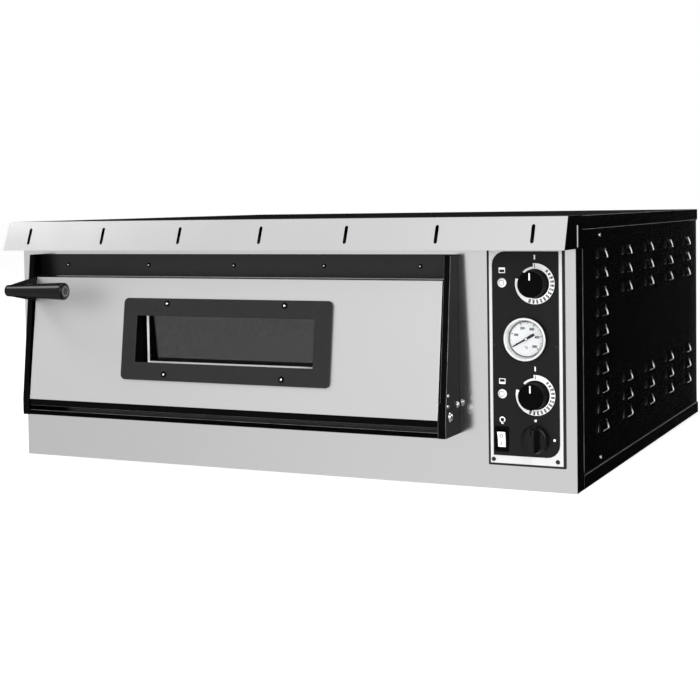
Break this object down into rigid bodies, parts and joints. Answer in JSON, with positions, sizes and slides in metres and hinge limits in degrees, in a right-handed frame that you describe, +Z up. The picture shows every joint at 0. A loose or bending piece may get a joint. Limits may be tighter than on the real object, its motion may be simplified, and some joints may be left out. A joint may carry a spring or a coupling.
{
  "type": "deck oven",
  "caption": "Single-chamber electric deck oven with a drop-down windowed door, slanted vented visor, control panel and louvred black sides.",
  "frame": {"origin": "on the floor at the middle of the body's footprint, at the underside of the base tray", "axes": "+Z up, front faces -Y, control panel on the +X side"},
  "size_m": [1.0064, 1.027, 0.413],
  "materials": {
    "stainless": "fine vertical brush",
    "black_paint": "satin black stoving paint",
    "aluminised_steel": "dull aluminised sheet",
    "refractory": "matt, fine grain",
    "element_sheath": "heat-dulled sheath",
    "mineral_wool": "fibrous",
    "oven_glass": "polished",
    "gauge_glass": "polished",
    "bright_metal": "polished",
    "needle_black": "matt",
    "control_film": "satin film",
    "black_plastic": "satin moulded",
    "grip_black": "gloss bakelite",
    "white_plastic": "gloss",
    "beige_plastic": "matt moulded"
  },
  "bodies": {
    "oven_body": {"front_fascia": "stainless", "visor": "stainless", "control_plate": "stainless", "mouth_threshold": "stainless", "base_tray": "black_paint", "roof_panel": "black_paint", "side_panel_left": "black_paint", "side_panel_right": "black_paint", "back_panel": "black_paint", "surround_lintel": "black_paint", "surround_cheek_left": "black_paint", "surround_cheek_right": "black_paint", "surround_sill": "black_paint", "chamber_floor": "aluminised_steel", "chamber_roof": "aluminised_steel", "chamber_wall_left": "aluminised_steel", "chamber_wall_right": "aluminised_steel", "chamber_wall_rear": "aluminised_steel", "stone_rail_left": "aluminised_steel", "stone_rail_middle": "aluminised_steel", "stone_rail_right": "aluminised_steel", "partition_wall": "aluminised_steel", "chamber_lamp_holder": "aluminised_steel", "thermostat_body_upper": "aluminised_steel", "thermostat_body_lower": "aluminised_steel", "hearth_stone_left": "refractory", "hearth_stone_right": "refractory", "upper_element_front": "element_sheath", "upper_element_middle": "element_sheath", "upper_element_rear": "element_sheath", "lower_element_front": "element_sheath", "lower_element_middle": "element_sheath", "lower_element_rear": "element_sheath", "insulation_blanket": "mineral_wool", "chamber_lamp_lens": "oven_glass", "thermometer_lens": "gauge_glass", "thermometer_case": "bright_metal", "hinge_pin_left": "bright_metal", "hinge_pin_right": "bright_metal", "control_overlay": "control_film", "main_switch_body": "black_plastic", "lamp_switch_housing": "black_plastic", "cable_gland": "black_plastic", "pilot_lamp_upper": "white_plastic", "pilot_lamp_lower": "white_plastic", "terminal_block": "white_plastic", "contactor": "beige_plastic"},
    "door": {"door_skin": "stainless", "door_frame": "black_paint", "door_insulation": "mineral_wool", "window_bezel": "black_paint", "window_glass": "oven_glass", "glass_retainer": "aluminised_steel", "handle_arm": "black_paint", "handle_grip": "grip_black"},
    "upper_knob": {"thermostat_knob_upper": "black_plastic"},
    "lower_knob": {"thermostat_knob_lower": "black_plastic"},
    "switch_knob": {"main_switch_knob": "black_plastic"},
    "lamp_rocker": {"lamp_rocker": "white_plastic"},
    "needle": {"thermometer_needle": "needle_black"}
  },
  "joints": [
    {"name": "door_hinge", "type": "hinge", "parent": "oven_body", "child": "door", "pos_m": [-0.074, -0.492, 0.112], "axis": [1, 0, 0], "range_deg": [0, 90]},
    {"name": "upper_thermostat", "type": "hinge", "parent": "oven_body", "child": "upper_knob", "pos_m": [0.438, -0.4513, 0.3124], "axis": [0, 1, 0], "range_deg": [0, 285]},
    {"name": "lower_thermostat", "type": "hinge", "parent": "oven_body", "child": "lower_knob", "pos_m": [0.4375, -0.4513, 0.1453], "axis": [0, 1, 0], "range_deg": [0, 285]},
    {"name": "main_switch", "type": "hinge", "parent": "oven_body", "child": "switch_knob", "pos_m": [0.4375, -0.4513, 0.079], "axis": [0, 1, 0], "range_deg": [0, 90]},
    {"name": "lamp_switch", "type": "hinge", "parent": "oven_body", "child": "lamp_rocker", "pos_m": [0.3845, -0.4478, 0.0769], "axis": [1, 0, 0], "range_deg": [-17, 0]},
    {"name": "thermometer_pointer", "type": "hinge", "parent": "oven_body", "child": "needle", "pos_m": [0.4238, -0.4508, 0.2293], "axis": [0, 1, 0], "range_deg": [0, 250]}
  ]
}
